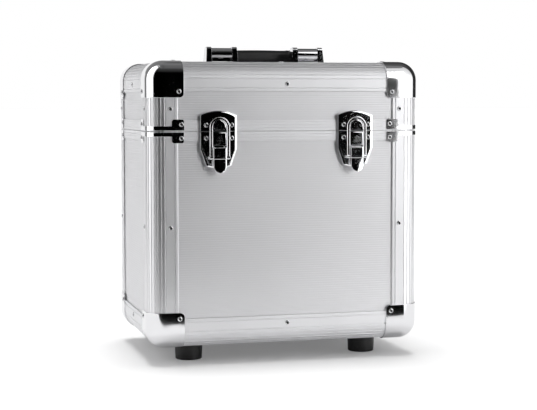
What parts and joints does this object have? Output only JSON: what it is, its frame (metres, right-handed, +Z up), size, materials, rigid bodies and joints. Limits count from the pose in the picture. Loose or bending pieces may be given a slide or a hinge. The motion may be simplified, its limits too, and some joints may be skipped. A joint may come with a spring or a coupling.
{
  "type": "record carrying case",
  "caption": "Upright carrying case for vinyl records: aluminium edge strips, pressed corner caps, hinged lid, draw latches with locks, fold-down handle, rubber feet.",
  "frame": {"origin": "centre of the overall box on the plane the feet stand on", "axes": "+X to the right seen from the front, +Y from the front to the hinge side, +Z up"},
  "size_m": [0.3546, 0.2536, 0.397],
  "materials": {
    "board": "birch plywood core",
    "ribbed_sheet": "fine horizontal ribs, silver",
    "edge_aluminium": "satin anodised extrusion",
    "lining_foam": "black EVA foam sheet",
    "foot_rubber": "moulded black rubber",
    "grip_plastic": "satin black",
    "pin_steel": "bright zinc plated steel",
    "lock_metal": "plated lock barrel",
    "rivet_steel": "plated rivet heads",
    "chrome_hardware": "bright chrome plate"
  },
  "bodies": {
    "case_body": {"floor_panel": "board", "front_panel": "board", "rear_panel": "board", "left_panel": "board", "right_panel": "board", "body_facings": "ribbed_sheet", "body_corner_profiles": "edge_aluminium", "bottom_edge_profiles": "edge_aluminium", "body_rim_profiles": "edge_aluminium", "body_split_brackets": "chrome_hardware", "cap_bottom_front_left": "chrome_hardware", "cap_bottom_rear_left": "chrome_hardware", "cap_bottom_front_right": "chrome_hardware", "cap_bottom_rear_right": "chrome_hardware", "body_lining": "lining_foam", "body_rivets": "rivet_steel", "rubber_feet": "foot_rubber", "foot_screws": "pin_steel", "hinge_pins": "pin_steel", "lever_pins": "pin_steel", "latch_base_left": "chrome_hardware", "latch_base_right": "chrome_hardware", "hinge_body_leaf_left": "chrome_hardware", "hinge_body_leaf_right": "chrome_hardware"},
    "lid": {"top_panel": "board", "lid_front_panel": "board", "lid_rear_panel": "board", "lid_left_panel": "board", "lid_right_panel": "board", "lid_facings": "ribbed_sheet", "lid_corner_profiles": "edge_aluminium", "top_edge_profiles": "edge_aluminium", "lid_rim_profiles": "edge_aluminium", "lid_split_brackets": "chrome_hardware", "cap_top_front_left": "chrome_hardware", "cap_top_rear_left": "chrome_hardware", "cap_top_front_right": "chrome_hardware", "cap_top_rear_right": "chrome_hardware", "lid_lining": "lining_foam", "lid_rivets": "rivet_steel", "handle_pins": "pin_steel", "catch_plate_left": "chrome_hardware", "catch_plate_right": "chrome_hardware", "hinge_lid_leaf_left": "chrome_hardware", "hinge_lid_leaf_right": "chrome_hardware", "handle_bracket_left": "chrome_hardware", "handle_bracket_right": "chrome_hardware"},
    "handle": {"grip": "grip_plastic", "grip_rod": "pin_steel", "handle_arm_left": "chrome_hardware", "handle_arm_right": "chrome_hardware"},
    "lever_left": {"lever_left": "chrome_hardware", "bail_pin_left": "chrome_hardware"},
    "bail_left": {"bail_left": "chrome_hardware"},
    "lock_left": {"lock_cylinder_left": "lock_metal"},
    "lever_right": {"lever_right": "chrome_hardware", "bail_pin_right": "chrome_hardware"},
    "bail_right": {"bail_right": "chrome_hardware"},
    "lock_right": {"lock_cylinder_right": "lock_metal"}
  },
  "joints": [
    {"name": "lid_hinge", "type": "hinge", "parent": "case_body", "child": "lid", "pos_m": [0, 0.1233, 0.2893], "axis": [-1, 0, 0], "range_deg": [0, 100]},
    {"name": "handle_swing", "type": "hinge", "parent": "lid", "child": "handle", "pos_m": [0, 0.0029, 0.3869], "axis": [1, 0, 0], "range_deg": [0, 180]},
    {"name": "latch_lever_left", "type": "hinge", "parent": "case_body", "child": "lever_left", "pos_m": [-0.088, -0.122, 0.2678], "axis": [-1, 0, 0], "range_deg": [0, 120]},
    {"name": "latch_bail_left", "type": "hinge", "parent": "lever_left", "child": "bail_left", "pos_m": [-0.088, -0.1216, 0.257], "axis": [-1, 0, 0], "range_deg": [-120, 0]},
    {"name": "lock_turn_left", "type": "hinge", "parent": "case_body", "child": "lock_left", "pos_m": [-0.088, -0.1218, 0.2787], "axis": [0, -1, 0], "range_deg": [0, 90]},
    {"name": "latch_lever_right", "type": "hinge", "parent": "case_body", "child": "lever_right", "pos_m": [0.088, -0.122, 0.2678], "axis": [-1, 0, 0], "range_deg": [0, 120]},
    {"name": "latch_bail_right", "type": "hinge", "parent": "lever_right", "child": "bail_right", "pos_m": [0.088, -0.1216, 0.257], "axis": [-1, 0, 0], "range_deg": [-120, 0]},
    {"name": "lock_turn_right", "type": "hinge", "parent": "case_body", "child": "lock_right", "pos_m": [0.088, -0.1218, 0.2787], "axis": [0, -1, 0], "range_deg": [0, 90]}
  ],
  "couplings": [
    {"joint": "latch_bail_left", "follows": "latch_lever_left", "ratio": -1},
    {"joint": "latch_bail_right", "follows": "latch_lever_right", "ratio": -1}
  ]
}
